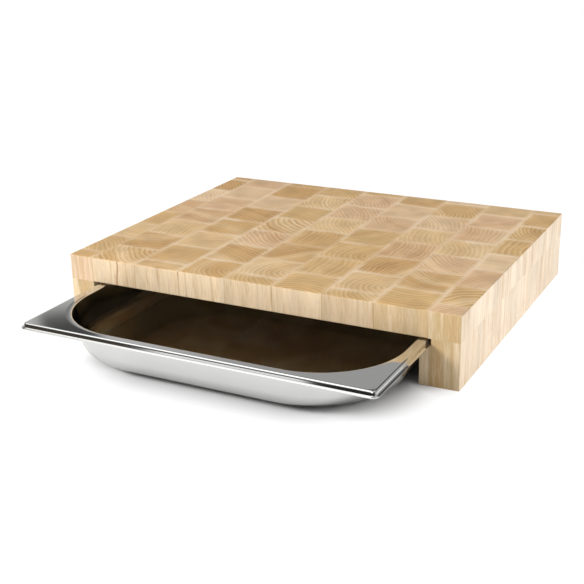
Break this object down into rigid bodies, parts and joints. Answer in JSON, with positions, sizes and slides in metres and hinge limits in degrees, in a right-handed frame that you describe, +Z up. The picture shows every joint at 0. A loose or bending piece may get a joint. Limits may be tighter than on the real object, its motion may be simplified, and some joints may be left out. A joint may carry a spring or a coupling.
{
  "type": "cutting board with tray",
  "caption": "End-grain wooden cutting board on rails, with a pressed steel tray that hangs by its rim in grooves below the top and slides out at the front.",
  "frame": {"origin": "on the surface that the board stands on, below the centre of the whole part as it rests with the tray out", "axes": "+Z up, +X to the right along the front edge, -Y to the front, where the tray comes out"},
  "size_m": [0.378, 0.42, 0.065],
  "materials": {
    "wood": "pale end-grain hardwood, sanded and oiled, satin",
    "steel": "pressed stainless steel, satin, with a polished rim"
  },
  "bodies": {
    "board": {"top_strip_1": "wood", "top_strip_2": "wood", "top_strip_3": "wood", "top_strip_4": "wood", "top_strip_5": "wood", "top_strip_6": "wood", "top_strip_7": "wood", "top_strip_8": "wood", "top_strip_9": "wood", "left_rail_block_1": "wood", "left_rail_block_2": "wood", "left_rail_block_3": "wood", "left_rail_block_4": "wood", "left_rail_block_5": "wood", "left_rail_block_6": "wood", "left_rail_block_7": "wood", "left_rail_block_8": "wood", "right_rail_block_1": "wood", "right_rail_block_2": "wood", "right_rail_block_3": "wood", "right_rail_block_4": "wood", "right_rail_block_5": "wood", "right_rail_block_6": "wood", "right_rail_block_7": "wood", "right_rail_block_8": "wood", "back_rail_block_1": "wood", "back_rail_block_2": "wood", "back_rail_block_3": "wood", "back_rail_block_4": "wood", "back_rail_block_5": "wood", "back_rail_block_6": "wood", "back_rail_block_7": "wood"},
    "tray": {"tray": "steel"}
  },
  "joints": [
    {"name": "tray_slide", "type": "slide", "parent": "board", "child": "tray", "axis": [0, -1, 0], "range_m": [-0.109, 0.164]}
  ]
}
